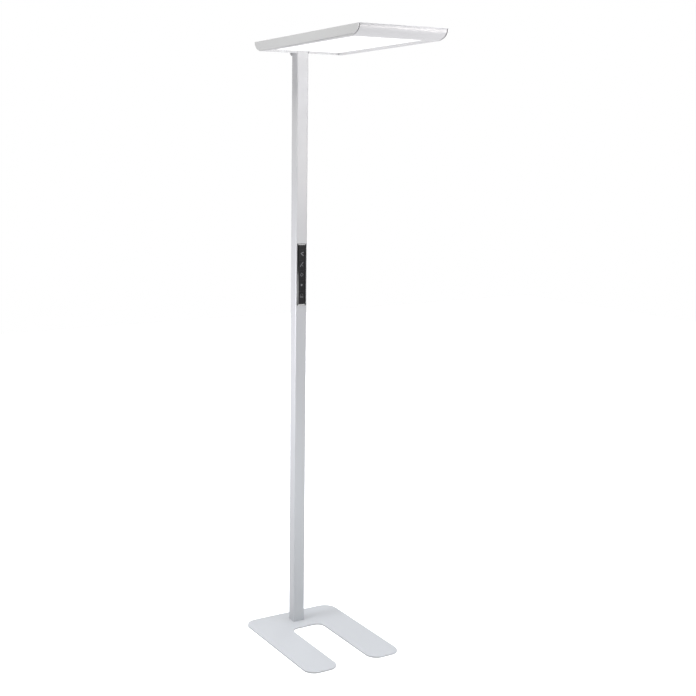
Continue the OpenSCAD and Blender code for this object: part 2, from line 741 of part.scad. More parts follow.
module reflector_sheet() color("white")
    block([-stack_x, stack_front, sheet_z], [stack_x, stack_rear, backing_z]);

module backing_plate() color(alu) difference() {
    block([-led_web_x - rail_wall, stack_front, backing_z], [led_web_x + rail_wall, stack_rear, deck_z]);
    driver_screw_places() translate([0, 0, -backing_t - 1]) cylinder(r = small_r + fit, h = backing_t + 2);
    for (s = [-1, 1]) translate([s * strip_lead_x, strip_run_y, backing_z - 1])
        cylinder(r = strip_lead_r + 2 * lead_play, h = backing_t + 2);
}

led_t = 0.5;                         // height, length and width of one LED
led_l = 4;
led_w = 3;

// A board on edge with its LEDs in a row, facing the light guide's edge
module led_strip(s) color([0.9, 0.9, 0.85]) {
    x = s * (led_web_x - strip_t / 2);
    mid_z = guide_z + guide_t / 2;
    half_l = (open_rear - open_front) / 2 - 4;
    mid_y = (open_rear + open_front) / 2;
    count = floor(half_l * 2 / led_pitch);
    block([x - strip_t / 2, mid_y - half_l, seat_z + strip_gap],
          [x + strip_t / 2, mid_y + half_l, backing_z - strip_gap]);
    for (i = [0:count - 1])
        translate([x - s * (strip_t + led_t) / 2, mid_y + (i - (count - 1) / 2) * led_pitch, mid_z])
            cube([led_t, led_l, led_w], center = true);
}
module led_strip_left() led_strip(-1);
module led_strip_right() led_strip(1);

module driver_screw_places() for (y = [driver_rear + ear_l / 2, driver_rear - driver_l - ear_l / 2])
    translate([0, y, deck_z]) children();

module driver() color("white") difference() {
    union() {
        block([-driver_w / 2, driver_rear - driver_l, deck_z],
              [driver_w / 2, driver_rear, deck_z + driver_h]);
        block([-driver_w / 4, driver_rear - driver_l - ear_l, deck_z],
              [driver_w / 4, driver_rear + ear_l, deck_z + ear_t]);
    }
    driver_screw_places() translate([0, 0, -1]) cylinder(r = small_r + fit, h = 4);
}

module driver_screws() color(steel) driver_screw_places() translate([0, 0, ear_t])
    screw(small_r, ear_t + backing_t, small_head_r, small_head_h + 0.6);

term_pitch = 5.4;
term_h = 10;
term_well = 2;
module terminal_block() color([0.9, 0.9, 0.88]) difference() {
    w = 7 * term_pitch + 2;
    block([-w / 2, term_rear - block_depth, deck_z], [w / 2, term_rear, deck_z + term_h]);
    for (i = [-3:3]) translate([i * term_pitch, term_rear - block_depth / 2, deck_z + term_h - term_well])
        cylinder(r = 1.7, h = term_well + 1);
}

module top_cover() color(paint) difference() {
    x = head_w / 2 - plate_t - 0.2;
    block([-x, head_front + cover_inset, rail_top], [x, head_rear - cover_inset, lamp_h]);
    cover_screw_holes(cover_t + 1);
}

module top_cover_screws() color(steel) for (x = cover_screws_x, y = cover_screw_rows)
    translate([x, y, lamp_h]) screw(small_r, cover_t + rail_wall, small_head_r, small_head_h);

base_plate();
base_pads();
base_bolts();
foot_plug();
foot_plug_screws();
pole();
power_inlet();
inlet_pins();
mains_lead();
panel_frame();
key(0);  // key_1
key(1);  // key_2
key(2);  // key_3
key(3);  // key_4
key(4);  // key_5
panel_tray();
panel_screws();
panel_clips();
keypad_board();
key_switches();
control_lead();
top_plug();
top_plug_screws();
head_bracket();
head_bolts();
bracket_screws();
pole_collar();
front_rail();
back_rail();
end_plate_left();
end_plate_right();
seam_fillers();
side_rail_left();
side_rail_right();
corner_blocks();
end_plate_screws();
diffuser();
light_guide();
reflector_sheet();
led_strip_left();
led_strip_right();
backing_plate();
driver();
driver_screws();
terminal_block();
driver_wires();
strip_leads();
top_cover();
top_cover_screws();
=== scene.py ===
import math

import bmesh
import bpy
from mathutils import Matrix, Vector


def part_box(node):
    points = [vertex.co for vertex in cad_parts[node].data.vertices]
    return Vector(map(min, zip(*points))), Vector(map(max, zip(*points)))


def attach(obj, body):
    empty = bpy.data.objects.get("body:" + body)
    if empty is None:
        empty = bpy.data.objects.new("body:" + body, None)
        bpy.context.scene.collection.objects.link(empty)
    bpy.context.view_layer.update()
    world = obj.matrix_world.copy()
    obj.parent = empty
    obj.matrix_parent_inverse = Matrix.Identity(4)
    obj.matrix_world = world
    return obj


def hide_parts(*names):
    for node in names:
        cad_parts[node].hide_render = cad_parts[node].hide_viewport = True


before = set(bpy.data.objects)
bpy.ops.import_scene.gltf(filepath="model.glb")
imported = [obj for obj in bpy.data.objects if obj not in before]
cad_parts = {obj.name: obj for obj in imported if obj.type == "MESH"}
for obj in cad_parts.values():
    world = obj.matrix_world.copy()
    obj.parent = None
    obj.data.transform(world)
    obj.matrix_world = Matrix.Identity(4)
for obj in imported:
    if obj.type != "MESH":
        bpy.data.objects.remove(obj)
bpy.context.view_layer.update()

# ---------------------------------------------------------------- base plate
# One flat steel plate, laser cut to a U whose two legs pass either side of a desk's leg.
# Its edges are broken all round and it is powder coated in a satin silver grey. Four
# countersunk holes under the pole take the bolts that hold the lamp together.

plate_low, plate_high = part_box("base_plate")
leg_w = 0.116
crossbar_l = 0.130
rear_r = 0.045
tip_r = 0.038
slot_r = 0.028
corner_steps = 14
plate_edge_r = 0.0007
bolts_low, bolts_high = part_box("base_bolts")
bolt_head_r = 0.006
bolt_r = 0.003
sink_depth = 0.0032
sink_below = 0.00002        # the countersink starts this far below the plate
hole_l = 0.008              # of a bolt hole's cutter, which passes through the plate
bolt_play = 0.00005
cut_over = 0.001            # how far a cutter reaches past what it cuts
silver = (0.56, 0.56, 0.56, 1.0)


class Wire:
    """One output of a finish's node. + and * on it add the Math nodes that work it out."""

    def __init__(self, finish, socket):
        self.finish = finish
        self.socket = socket

    def maths(self, operation, first, second):
        return self.finish.node("ShaderNodeMath", {"operation": operation}, {0: first, 1: second})

    def __add__(self, other):
        return self.maths("ADD", self, other)

    __radd__ = __add__

    def __mul__(self, other):
        return self.maths("MULTIPLY", self, other)

    __rmul__ = __mul__


class Finish:
    """A node material of the lamp. node() adds any node to it, and surface() ends it."""

    def __init__(self, name):
        self.material = bpy.data.materials.new(name)
        self.material.use_nodes = True
        self.tree = self.material.node_tree
        self.tree.nodes.clear()
        self.place = self.node("ShaderNodeTexCoord", {}, {}, "Object")

    def node(self, kind, settings, sockets, output=0):
        """Adds a node, gives its sockets values or wires, and returns one of its outputs."""
        made = self.tree.nodes.new(kind)
        for name, value in settings.items():
            setattr(made, name, value)
        for key, value in sockets.items():
            if isinstance(value, Wire):
                self.tree.links.new(value.socket, made.inputs[key])
            else:
                made.inputs[key].default_value = value
        return None if output is None else Wire(self, made.outputs[output])

    def noise(self, scale, detail=2.0):
        return self.node("ShaderNodeTexNoise", {}, {"Vector": self.place, "Scale": scale, "Detail": detail})

    def blend(self, share, first, second):
        """A colour between the two: the first at share 0 and the second at share 1."""
        return self.node("ShaderNodeMix", {"data_type": "RGBA"}, {0: share, 6: first, 7: second}, 2)

    def bump(self, height, depth):
        return self.node("ShaderNodeBump", {}, {"Height": height, "Distance": depth})

    def surface(self, **sockets):
        """Ends the material. A socket's name has _ for each space."""
        named = {name.replace("_", " "): value for name, value in sockets.items()}
        shader = self.node("ShaderNodeBsdfPrincipled", {}, named)
        self.node("ShaderNodeOutputMaterial", {}, {0: shader}, None)
        return self.material


def shaded(colour, factor):
    """The colour made lighter or darker."""
    return tuple(min(1.0, part * factor) for part in colour[:3]) + (1.0,)


def powder_coat(name, colour, metallic, roughness):
    """Satin powder coat: a fine orange-peel skin over pigment that clouds very slightly."""
    coat = Finish(name)
    peel = coat.noise(650.0)
    pigment = coat.noise(3200.0, 1.0)
    cloud = coat.noise(5.0, 3.0)
    tone = cloud * 0.5 + pigment * 0.5
    return coat.surface(
        Base_Color=coat.blend(tone, shaded(colour, 0.95), shaded(colour, 1.05)),
        Metallic=metallic,
        Roughness=pigment * 0.10 + (roughness - 0.05),
        Normal=coat.bump(peel, 0.00003),
    )


def select_nothing():
    """Leaves edit mode, and deselects every object."""
    if bpy.context.mode != "OBJECT":
        bpy.ops.object.mode_set(mode="OBJECT")
    bpy.ops.object.select_all(action="DESELECT")


def add_block(name, low, high):
    """A cube primitive between two corners, left in edit mode with its place in its mesh."""
    low, high = Vector(low), Vector(high)
    select_nothing()
    bpy.ops.mesh.primitive_cube_add(size=1, location=(low + high) / 2, scale=high - low)
    bpy.ops.object.transform_apply()
    piece = bpy.context.object
    piece.name = piece.data.name = name
    bpy.ops.object.mode_set(mode="EDIT")
    return piece


def middle(part):
    """The middle of a vertex, an edge or a face."""
    if isinstance(part, bmesh.types.BMVert):
        return part.co
    return sum((corner.co for corner in part.verts), Vector()) / len(part.verts)


def pick(piece, mode, rule):
    """In edit mode, selects only the vertices, edges or faces that the rule says yes to."""
    bpy.ops.mesh.select_mode(type=mode)
    bpy.ops.mesh.select_all(action="DESELECT")
    mesh = bmesh.from_edit_mesh(piece.data)
    parts = {"VERT": mesh.verts, "EDGE": mesh.edges, "FACE": mesh.faces}[mode]
    for part in parts:
        if rule(part):
            part.select_set(True)
    mesh.select_flush_mode()
    bmesh.update_edit_mesh(piece.data)


def near(value, target):
    """Whether two lengths in metres agree to a hundredth of a millimetre."""
    return abs(value - target) < 0.00001


def finish_modifier(piece, kind, **settings):
    """Adds a modifier to the piece and applies it."""
    select_nothing()
    piece.select_set(True)
    bpy.context.view_layer.objects.active = piece
    modifier = piece.modifiers.new(kind.lower(), kind)
    for name, value in settings.items():
        setattr(modifier, name, value)
    bpy.ops.object.modifier_apply(modifier=modifier.name)


def cut_out(piece, cutter):
    """Cuts the shape out of the piece, and deletes it."""
    finish_modifier(piece, "BOOLEAN", operation="DIFFERENCE", solver="EXACT", object=cutter)
    bpy.data.objects.remove(cutter)


def round_edges(piece, radius, steps=3, turn=28):
    """Rounds every edge that turns more than so many degrees, and shades the piece smooth."""
    finish_modifier(
        piece, "BEVEL", width=radius, segments=steps, limit_method="ANGLE", angle_limit=math.radians(turn)
    )
    bpy.ops.object.shade_smooth_by_angle(angle=math.radians(40))
    finish_modifier(piece, "WEIGHTED_NORMAL", keep_sharp=True)


def add_round(name, centre, axis, radii, length, sides=48):
    """A cylinder or cone primitive whose first end is at centre, running along axis."""
    axis = Vector(axis)
    select_nothing()
    bpy.ops.mesh.primitive_cone_add(
        vertices=sides, radius1=radii[0], radius2=radii[1], depth=length,
        location=Vector(centre) + axis * length / 2, rotation=axis.to_track_quat("Z", "Y").to_euler(),
    )
    bpy.ops.object.transform_apply()
    piece = bpy.context.object
    piece.name = piece.data.name = name
    return piece


plate_w = plate_high.x - plate_low.x
slot_end = plate_high.y - crossbar_l
slot_x = plate_w / 2 - leg_w
select_nothing()
bpy.ops.mesh.primitive_plane_add(
    size=1, location=((plate_low.x + plate_high.x) / 2, (plate_low.y + plate_high.y) / 2, plate_low.z))
plate = bpy.context.object
plate.scale = plate_high - plate_low
bpy.ops.object.transform_apply()
plate.name = plate.data.name = "base_plate_coated"
bpy.ops.object.mode_set(mode="EDIT")
slot_sides = (
    ((-slot_x, 0, 0), (1, 0, 0)),
    ((slot_x, 0, 0), (1, 0, 0)),
    ((0, slot_end, 0), (0, 1, 0)),
)
for point, normal in slot_sides:
    bpy.ops.mesh.select_all(action="SELECT")
    bpy.ops.mesh.bisect(plane_co=point, plane_no=normal)
pick(plate, "FACE", lambda face: abs(middle(face).x) < slot_x and middle(face).y < slot_end)
bpy.ops.mesh.delete(type="FACE")
bpy.ops.mesh.select_all(action="SELECT")
bpy.ops.mesh.dissolve_limited(angle_limit=0.01)
corners = (
    (lambda v: near(v.co.y, plate_high.y), rear_r),
    (lambda v: near(v.co.y, plate_low.y), tip_r),
    (lambda v: near(v.co.y, slot_end) and near(abs(v.co.x), slot_x), slot_r),
)
for rule, radius in corners:
    pick(plate, "VERT", rule)
    bpy.ops.mesh.bevel(affect="VERTICES", offset=radius, segments=corner_steps, profile=0.5)
bpy.ops.mesh.select_all(action="SELECT")
bpy.ops.mesh.extrude_region_move(TRANSFORM_OT_translate={"value": (0, 0, plate_high.z - plate_low.z)})
bpy.ops.mesh.select_all(action="SELECT")
bpy.ops.mesh.normals_make_consistent(inside=False)
bolt_places = [
    (x, y)
    for x in (bolts_low.x + bolt_head_r, bolts_high.x - bolt_head_r)
    for y in (bolts_low.y + bolt_head_r, bolts_high.y - bolt_head_r)
]
bpy.ops.object.mode_set(mode="OBJECT")
for x, y in bolt_places:
    cut_out(plate, add_round(
        "hole", (x, y, plate_low.z - cut_over), (0, 0, 1), (bolt_r + bolt_play,) * 2, hole_l))
    cut_out(plate, add_round(
        "sink", (x, y, plate_low.z - sink_below), (0, 0, 1),
        (bolt_head_r + bolt_play, bolt_r + bolt_play), sink_depth))
round_edges(plate, plate_edge_r)
plate.data.materials.append(powder_coat("silver_coat_base", silver, 0.15, 0.46))
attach(plate, "stand")
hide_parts("base_plate")

# ---------------------------------------------------------------- base bolts
# Four M6 countersunk steel bolts, zinc plated. They pull the plate against the plug in
# the foot of the pole.

zinc_grey = (0.60, 0.61, 0.63, 1.0)
bolt_edge_r = 0.0002


def zinc_plate(name, colour):
    """Zinc plating on steel: bright, a little uneven, with fine turning marks."""
    zinc = Finish(name)
    spangle = zinc.noise(900.0, 3.0)
    marks = zinc.noise(5200.0, 1.0)
    return zinc.surface(
        Base_Color=zinc.blend(spangle, shaded(colour, 0.88), shaded(colour, 1.08)),
        Metallic=1.0,
        Roughness=marks * 0.2 + 0.22,
        Normal=zinc.bump(marks, 0.00001),
    )


def like_node(node, name, radius):
    """A copy of a frame node with its triangles merged and its sharp edges rounded."""
    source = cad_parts[node]
    piece = bpy.data.objects.new(name, source.data.copy())
    piece.data.name = name
    piece.data.materials.clear()
    bpy.context.scene.collection.objects.link(piece)
    select_nothing()
    piece.select_set(True)
    bpy.context.view_layer.objects.active = piece
    bpy.ops.object.mode_set(mode="EDIT")
    bpy.ops.mesh.select_all(action="SELECT")
    bpy.ops.mesh.remove_doubles(threshold=0.000005)
    bpy.ops.mesh.dissolve_limited(angle_limit=math.radians(1))
    bpy.ops.mesh.delete_loose()
    round_edges(piece, radius, 2)
    return piece


zinc = zinc_plate("zinc_plated_steel", zinc_grey)
base_bolts = like_node("base_bolts", "base_bolts_plated", bolt_edge_r)
base_bolts.data.materials.append(zinc)
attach(base_bolts, "stand")
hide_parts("base_bolts")

# ---------------------------------------------------------------- floor pads
# Six self-adhesive rubber discs, 20 mm across and 1.5 mm thick, stuck under the plate.
# The plate stands on them, clear of the floor.

pads_low, pads_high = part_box("base_pads")
pad_r = 0.010
pad_edge_r = 0.0004
pad_black = (0.03, 0.03, 0.032, 1.0)


def moulded(name, colour, roughness, grain=2400.0, depth=0.00002):
    """Moulded plastic or rubber: an even colour with a fine spark-eroded grain."""
    plastic = Finish(name)
    spark = plastic.noise(grain, 2.0)
    sheen = plastic.noise(60.0, 2.0)
    return plastic.surface(
        Base_Color=plastic.blend(sheen, shaded(colour, 0.92), shaded(colour, 1.08)),
        Roughness=spark * 0.12 + (roughness - 0.06),
        Normal=plastic.bump(spark, depth),
    )


pad_places = [
    (x, y, pads_low.z)
    for x in (pads_low.x + pad_r, pads_high.x - pad_r)
    for y in (pads_low.y + pad_r, (pads_low.y + pads_high.y) / 2, pads_high.y - pad_r)
]
first_pad = add_round("floor_pads", pad_places[0], (0, 0, 1), (pad_r, pad_r), pads_high.z - pads_low.z)
round_edges(first_pad, pad_edge_r)
copies = []
for place in pad_places[1:]:
    pad = first_pad.copy()
    pad.data = first_pad.data.copy()
    pad.data.transform(Matrix.Translation(Vector(place) - Vector(pad_places[0])))
    bpy.context.scene.collection.objects.link(pad)
    copies.append(pad)


def join(pieces):
    """Joins the pieces into the first one."""
    select_nothing()
    for piece in pieces:
        piece.select_set(True)
    bpy.context.view_layer.objects.active = pieces[0]
    bpy.ops.object.join()
    return pieces[0]


floor_pads = join([first_pad] + copies)
floor_pads.data.materials.append(moulded("black_pad_rubber", pad_black, 0.75))
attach(floor_pads, "stand")
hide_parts("base_pads")

# ---------------------------------------------------------------- foot plug and its screws
# A sawn aluminium block that fills the foot of the pole, with two pan-head screws through
# the pole's rear wall. Only the screws' heads show.

mill_dark = (0.60, 0.61, 0.62, 1.0)
mill_light = (0.72, 0.73, 0.74, 1.0)
line_scale_along = 30.0
line_scale_across = 2200.0
plug_screw_edge_r = 0.0003


def mill_aluminium(name, along):
    """Bare aluminium as it leaves the mill, with fine die lines drawn along one axis."""
    mill = Finish(name)
    stretch = tuple(line_scale_along if axis == along else line_scale_across for axis in "xyz")
    drawn = mill.node("ShaderNodeMapping", {}, {"Vector": mill.place, "Scale": stretch})
    lines = mill.node("ShaderNodeTexNoise", {}, {"Vector": drawn, "Scale": 1.0, "Detail": 2.0})
    return mill.surface(
        Base_Color=mill.blend(lines, mill_dark, mill_light),
        Metallic=1.0,
        Roughness=lines * 0.2 + 0.28,
        Normal=mill.bump(lines, 0.00001),
    )


def dress(node, material):
    """Gives a frame node that stays as it is its finish."""
    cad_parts[node].data.materials.clear()
    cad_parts[node].data.materials.append(material)


upright_mill = mill_aluminium("mill_aluminium_upright", "z")
dress("foot_plug", upright_mill)
for node in ("foot_plug_screws", "top_plug_screws"):
    screws = like_node(node, node + "_plated", plug_screw_edge_r)
    screws.data.materials.append(zinc)
    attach(screws, "stand")
    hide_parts(node)

# ---------------------------------------------------------------- pole
# A rectangular aluminium extrusion with rounded long edges, powder coated like the base.
# It is cut out at the front for the keypad and at the back for the inlet and four screws.

pole_low, pole_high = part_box("pole")
pole_r = 0.004
pole_r_steps = 8
pole_wall = 0.002
pole_cut_r = 0.0003
panel_low, panel_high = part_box("panel_frame")
inlet_low, inlet_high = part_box("power_inlet")
tray_low, tray_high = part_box("panel_tray")
tray_gap = 0.0002
flange_rim = 0.0016
screw_r = 0.002
screw_head_r = 0.0036

pole = add_block("pole_coated", pole_low, pole_high)
pick(pole, "EDGE", lambda edge: near(edge.verts[0].co.x, edge.verts[1].co.x)
     and near(edge.verts[0].co.y, edge.verts[1].co.y))
bpy.ops.mesh.bevel(offset=pole_r, segments=pole_r_steps, profile=0.5)
pick(pole, "FACE", lambda face: abs(face.normal.z) > 0.9)
bpy.ops.mesh.delete(type="FACE")
bpy.ops.object.mode_set(mode="OBJECT")
finish_modifier(pole, "SOLIDIFY", thickness=pole_wall, offset=-1, use_even_offset=True)


def add_cutter(low, high):
    """A block that is ready to be cut out of a piece."""
    cutter = add_block("cutter", low, high)
    bpy.ops.object.mode_set(mode="OBJECT")
    return cutter


cut_out(pole, add_cutter(
    (tray_low.x - tray_gap, pole_low.y - cut_over, tray_low.z - tray_gap),
    (tray_high.x + tray_gap, pole_low.y + pole_wall + cut_over, tray_high.z + tray_gap)))
inlet_rim = flange_rim - tray_gap
cut_out(pole, add_cutter(
    (inlet_low.x + inlet_rim, pole_high.y - pole_wall - cut_over, inlet_low.z + inlet_rim),
    (inlet_high.x - inlet_rim, pole_high.y + cut_over, inlet_high.z - inlet_rim)))
for node in ("foot_plug_screws", "top_plug_screws"):
    screws_low, screws_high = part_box(node)
    for z in (screws_low.z + screw_head_r, screws_high.z - screw_head_r):
        cut_out(pole, add_round(
            "screw_hole", (0, pole_high.y - pole_wall - cut_over, z), (0, 1, 0),
            (screw_r + bolt_play,) * 2, pole_wall + 2 * cut_over, 24))
round_edges(pole, pole_cut_r, 2, 60)
pole_coat = powder_coat("silver_coat_pole", silver, 0.2, 0.44)
pole.data.materials.append(pole_coat)
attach(pole, "stand")
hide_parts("pole")

# ---------------------------------------------------------------- power inlet
# A black moulded three-pole socket that snaps into the pole's rear wall, with a flange
# round a recess whose two upper corners are cut off, and three flat nickelled blades.

inlet_edge_r = 0.0005
blade_edge_r = 0.0004
inlet_black = (0.025, 0.025, 0.027, 1.0)
nickel_grey = (0.66, 0.62, 0.54, 1.0)
flange_t = 0.0025
socket_d = 0.017
socket_rim = 0.003
socket_cut = 0.00424

inlet = add_block(
    "power_inlet_moulding", (inlet_low.x, inlet_high.y - flange_t, inlet_low.z), inlet_high)
pick(inlet, "FACE", lambda face: face.normal.y < -0.9)
bpy.ops.mesh.inset(thickness=flange_rim, depth=0)
bpy.ops.mesh.extrude_region_move(
    TRANSFORM_OT_translate={"value": (0, inlet_low.y + flange_t - inlet_high.y, 0)})
pick(inlet, "FACE", lambda face: face.normal.y > 0.9)
bpy.ops.mesh.inset(thickness=socket_rim, depth=0)
bpy.ops.mesh.extrude_region_move(TRANSFORM_OT_translate={"value": (0, -socket_d, 0)})
inlet_mid = (inlet_low + inlet_high) / 2
socket_x = (inlet_high.x - inlet_low.x) / 2 - socket_rim
pick(inlet, "EDGE", lambda edge: abs(edge.verts[0].co.y - edge.verts[1].co.y) > socket_d * 0.9
     and abs(abs(middle(edge).x) - socket_x) < 0.0001 and middle(edge).z > inlet_mid.z)
bpy.ops.mesh.bevel(offset=socket_cut, segments=1)
bpy.ops.mesh.select_all(action="SELECT")
bpy.ops.mesh.remove_doubles(threshold=0.00001)
round_edges(inlet, inlet_edge_r)
inlet.data.materials.append(moulded("black_moulding", inlet_black, 0.5))
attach(inlet, "stand")
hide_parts("power_inlet")

pins = like_node("inlet_pins", "inlet_blades", blade_edge_r)
nickel = zinc_plate("nickelled_brass", nickel_grey)
pins.data.materials.append(nickel)
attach(pins, "stand")
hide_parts("inlet_pins")

# ---------------------------------------------------------------- leads inside the pole
# Two round leads in black sheaths: mains from the inlet to the head, and the keypad's
# control lead. Both run up the inside of the pole and through the top plug.

lead_black = (0.028, 0.028, 0.028, 1.0)
lead_grain = 1500.0
lead_rubber = moulded("black_lead_sheath", lead_black, 0.6, lead_grain)
for node in ("mains_lead", "control_lead"):
    dress(node, lead_rubber)

# ---------------------------------------------------------------- keypad, behind its frame
# A black tray that carries the green circuit board and its five snap switches, held to
# the frame by two screws and to the pole by two sprung steel tongues.

tray_black = (0.04, 0.04, 0.043, 1.0)
board_green = (0.02, 0.16, 0.07, 1.0)
track_green = (0.012, 0.09, 0.045, 1.0)
tray_plastic = moulded("dark_tray_plastic", tray_black, 0.55)
dress("panel_tray", tray_plastic)
dress("key_switches", tray_plastic)
dress("panel_screws", zinc)
dress("panel_clips", zinc)

board = Finish("green_solder_mask")
tracks = board.node(
    "ShaderNodeTexVoronoi", {"feature": "DISTANCE_TO_EDGE"}, {"Vector": board.place, "Scale": 420.0})
dress("keypad_board", board.surface(
    Base_Color=board.blend(tracks * 2.5, board_green, track_green),
    Roughness=tracks * 0.3 + 0.25,
    Normal=board.bump(tracks, 0.00002),
))

# ---------------------------------------------------------------- keypad frame
# A glossy black moulding, 34 x 206 mm, that stands 1.6 mm proud of the pole. A sloped
# border runs round it and five windows let the keys through.

frame_edge_t = 0.0004
frame_border = 0.0057
frame_proud = 0.0016
frame_edge_r = 0.0002
frame_black = (0.003, 0.003, 0.0035, 1.0)
panel_specular = 0.25
window_play = 0.0003
boss_r = 0.003
boss_from_end = 0.0105
key_boxes = {number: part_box("key_%d" % number) for number in range(1, 6)}
flange_lip = 0.0008

panel = add_block(
    "keypad_frame",
    (panel_low.x, pole_low.y - frame_edge_t, panel_low.z), (panel_high.x, pole_low.y, panel_high.z))
pick(panel, "FACE", lambda face: face.normal.y < -0.9)
bpy.ops.mesh.inset(thickness=frame_border, depth=frame_proud - frame_edge_t)
for low, high in key_boxes.values():
    cut_out(panel, add_cutter(
        (low.x + flange_lip - window_play, panel_low.y - cut_over, low.z + flange_lip - window_play),
        (high.x - flange_lip + window_play, pole_low.y + cut_over, high.z - flange_lip + window_play)))
round_edges(panel, frame_edge_r, 3, 10)
bosses = [
    add_round("boss", (0, pole_low.y, z), (0, 1, 0), (boss_r, boss_r), panel_high.y - pole_low.y, 24)
    for z in (panel_low.z + boss_from_end, panel_high.z - boss_from_end)
]
panel = join([panel] + bosses)


def gloss_black(name, colour, roughness, specular):
    """Polished black moulding, with faint sink marks that make its reflections swim."""
    gloss = Finish(name)
    sink = gloss.noise(45.0, 1.0)
    dust = gloss.noise(1800.0, 2.0)
    return gloss.surface(
        Base_Color=gloss.blend(dust, shaded(colour, 0.9), shaded(colour, 1.1)),
        Roughness=dust * 0.06 + roughness,
        Specular_IOR_Level=specular,
        Normal=gloss.bump(sink, 0.00008),
    )


panel.data.materials.append(gloss_black("gloss_black_frame", frame_black, 0.06, panel_specular))
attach(panel, "stand")
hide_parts("panel_frame")

# ---------------------------------------------------------------- keypad label
# A dark grey printed film, stuck on the frame between the keys and on each key. It is
# 0.1 mm thick, and its surface is a little duller than the frame's.

label_w = 0.0224
label_end = 0.0060
film_t = 0.00010
film_edge_r = 0.00003
film = Finish("dark_grey_film")
weave = film.noise(1400.0, 2.0)
film_colour = (0.013, 0.013, 0.014, 1.0)
film_finish = film.surface(
    Base_Color=film.blend(weave, shaded(film_colour, 0.85), shaded(film_colour, 1.15)),
    Roughness=weave * 0.1 + 0.26,
    Specular_IOR_Level=panel_specular,
    Normal=film.bump(weave, 0.000006),
)
film_front = pole_low.y - frame_proud - film_t
label = add_block(
    "keypad_label",
    (-label_w / 2, film_front, panel_low.z + label_end),
    (label_w / 2, pole_low.y - frame_proud, panel_high.z - label_end))
for low, high in key_boxes.values():
    cut_out(label, add_cutter(
        (low.x + flange_lip - window_play, film_front - cut_over, low.z + flange_lip - window_play),
        (high.x - flange_lip + window_play, pole_low.y, high.z - flange_lip + window_play)))
round_edges(label, film_edge_r, 1, 60)
label.data.materials.append(film_finish)
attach(label, "stand")

# ---------------------------------------------------------------- keys
# Five push keys, each a flat cap behind the film with a flange that keeps it in and a
# stem that works its switch. A light grey symbol is printed on each.

key_edge_r = 0.00012
key_flange_t = 0.0009
key_leaf = 0.0003
stem_r = 0.0025
symbol_t = 0.00005
stroke = 0.0013
ink_grey = (0.20, 0.20, 0.21, 1.0)
ink_grain = 3000.0
ink_grain_depth = 0.000003
symbol_ink = moulded("light_grey_ink", ink_grey, 0.5, ink_grain, ink_grain_depth)


def stroke_between(start, end, width, y):
    """A flat printed stroke on a key, from one (x, z) to another, as a thin block."""
    start, end = Vector(start), Vector(end)
    along = end - start
    half_l = along.length / 2 + width / 2
    bar = add_block("stroke", (-half_l, -symbol_t, -width / 2), (half_l, 0, width / 2))
    bpy.ops.object.mode_set(mode="OBJECT")
    middle_point = (start + end) / 2
    turn = Matrix.Rotation(-math.atan2(along.y, along.x), 4, "Y")
    bar.data.transform(Matrix.Translation((middle_point.x, y, middle_point.y)) @ turn)
    return bar


def dot(centre, radius, y, sides=32):
    return add_round("dot", (centre[0], y, centre[1]), (0, -1, 0), (radius, radius), symbol_t, sides)


def arc(centre, radius, first, last, steps):
    """Points on a round arc, as (x, z), between two angles in degrees."""
    turns = [math.radians(first + (last - first) * step / steps) for step in range(steps + 1)]
    return [(centre[0] + radius * math.cos(a), centre[1] + radius * math.sin(a)) for a in turns]


def polyline(points, width, y):
    return [stroke_between(a, b, width, y) for a, b in zip(points, points[1:])]


def symbol_parts(number, y, z):
    """The strokes of one key's symbol, round the key's middle at height z."""
    if number == 1:
        return polyline([(0.0050, z + 0.0050), (-0.0040, z + 0.0022), (0.0052, z - 0.0050)], 2 * stroke, y)
    if number == 2:
        body = polyline([(0.0046, z + 0.0068), (-0.0005, z), (-0.0050, z - 0.0062)], 1.8 * stroke, y)
        return body + polyline([(-0.0005, z), (0.0050, z - 0.0062)], stroke, y)
    if number == 3:
        reach = 0.0056
        return polyline([(reach, z), (0, z + reach), (-reach, z), (0, z - reach), (reach, z)], stroke, y)
    if number == 4:
        return [dot((0, z), 0.0034, y)]
    dome = polyline(arc((0, z + 0.0005), 0.0042, 0, 180, 10), 1.4 * stroke, y)
    lines = [stroke_between((-0.0052, z - low), (0.0052, z - low), stroke, y) for low in (0.0035, 0.0068)]
    return dome + lines


for number, (low, high) in key_boxes.items():
    cap_low = Vector((low.x + flange_lip, low.y, low.z + flange_lip))
    cap_high = Vector((high.x - flange_lip, pole_low.y + key_leaf, high.z - flange_lip))
    cap = add_block("key_%d_cap" % number, cap_low, cap_high)
    pick(cap, "FACE", lambda face: face.normal.y > 0.9)
    bpy.ops.mesh.extrude_region_move(TRANSFORM_OT_translate={"value": (0, 0, 0)})
    cap_mid = (cap_low + cap_high) / 2
    bpy.ops.transform.resize(
        value=((high.x - low.x) / (cap_high.x - cap_low.x), 1, (high.z - low.z) / (cap_high.z - cap_low.z)),
        center_override=cap_mid)
    bpy.ops.mesh.extrude_region_move(TRANSFORM_OT_translate={"value": (0, key_flange_t, 0)})
    round_edges(cap, key_edge_r, 2)
    stem_start = (cap_mid.x, pole_low.y + key_leaf + key_flange_t, cap_mid.z)
    stem = add_round("stem", stem_start, (0, 1, 0), (stem_r, stem_r), high.y - stem_start[1], 24)
    cap = join([cap, stem])
    cap.data.materials.append(film_finish)
    body = "key_%d_cap" % number
    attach(cap, body)
    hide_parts("key_%d" % number)
    parts = symbol_parts(number, cap_low.y, cap_mid.z)
    symbol = join(parts)
    symbol.name = symbol.data.name = "key_%d_symbol" % number
    symbol.data.materials.append(symbol_ink)
    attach(symbol, body)

# ---------------------------------------------------------------- top of the pole
# A second aluminium plug with two M5 bolts that hold a steel bracket, and four screws
# that hold the bracket in the back rail of the head.

